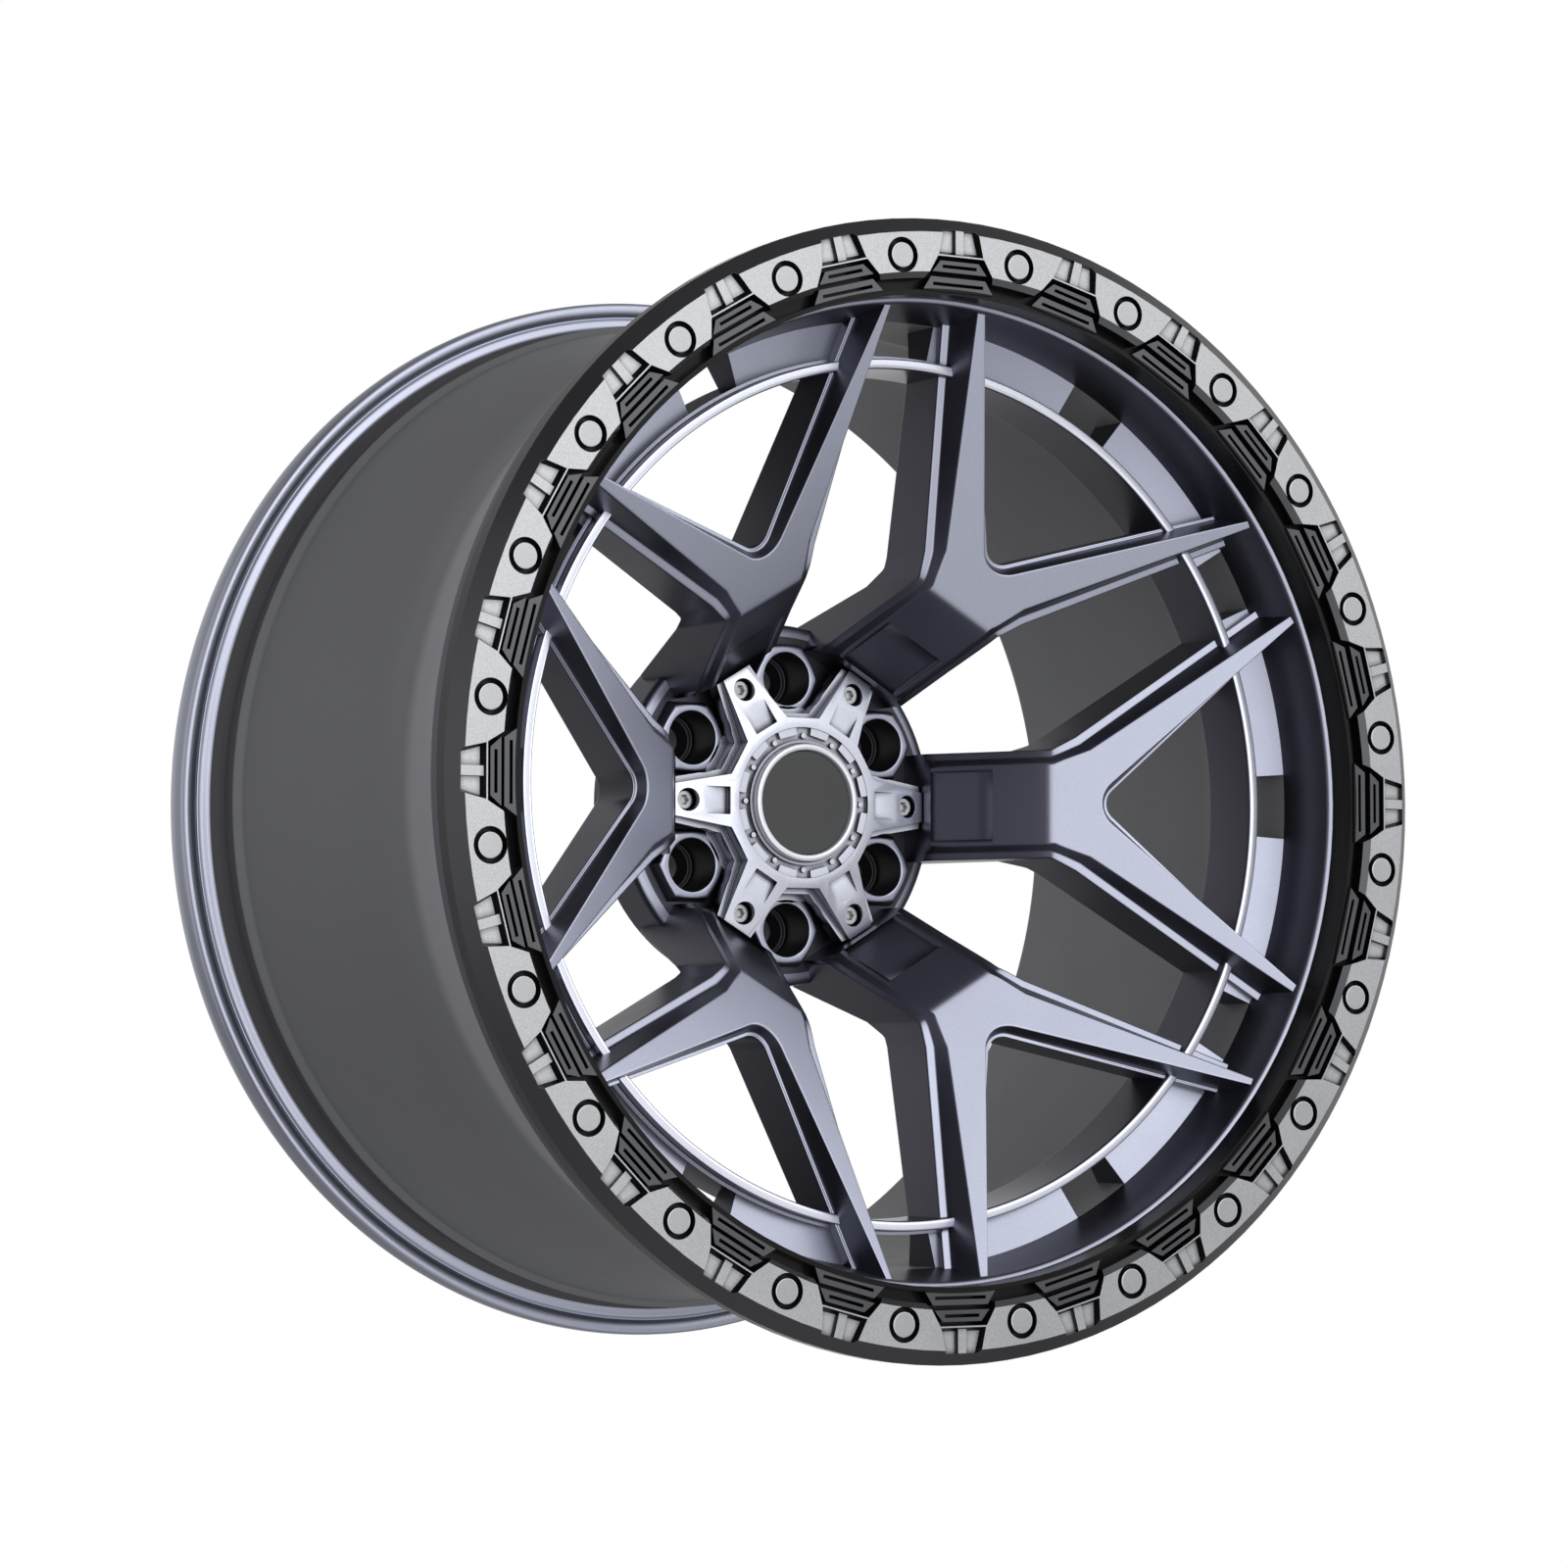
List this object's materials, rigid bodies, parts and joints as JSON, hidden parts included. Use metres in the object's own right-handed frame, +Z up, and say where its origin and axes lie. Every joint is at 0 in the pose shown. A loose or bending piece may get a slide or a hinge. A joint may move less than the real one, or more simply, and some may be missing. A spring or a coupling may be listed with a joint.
{
  "type": "off-road alloy wheel",
  "caption": "Deep-dish cast alloy wheel for an off-road truck, with forked spokes, a bolted trim ring round the outboard lip and a star-shaped hub cap.",
  "frame": {"origin": "on the spin axis at half the overall width of wheel and trim ring", "axes": "+Y is the spin axis pointing inboard, -Y is the outboard face, +Z is up, one spoke lies on +X"},
  "size_m": [0.6, 0.345, 0.6],
  "materials": {
    "satin_gunmetal": "satin bluish grey paint on a cast aluminium wheel, darker on the barrel",
    "machined_ring": "machined face with gloss black bevel and recesses",
    "bright_steel": "bright plated steel",
    "silver_cap": "satin silver",
    "chrome_bezel": "polished",
    "grey_disc": "plain dark grey, slightly glossy"
  },
  "bodies": {
    "root": {"wheel": "satin_gunmetal", "trim_ring": "machined_ring", "ring_bolts": "bright_steel", "hub_cap": "silver_cap", "cap_screws": "bright_steel", "cap_bezel": "chrome_bezel", "cap_disc": "grey_disc"}
  },
  "joints": []
}
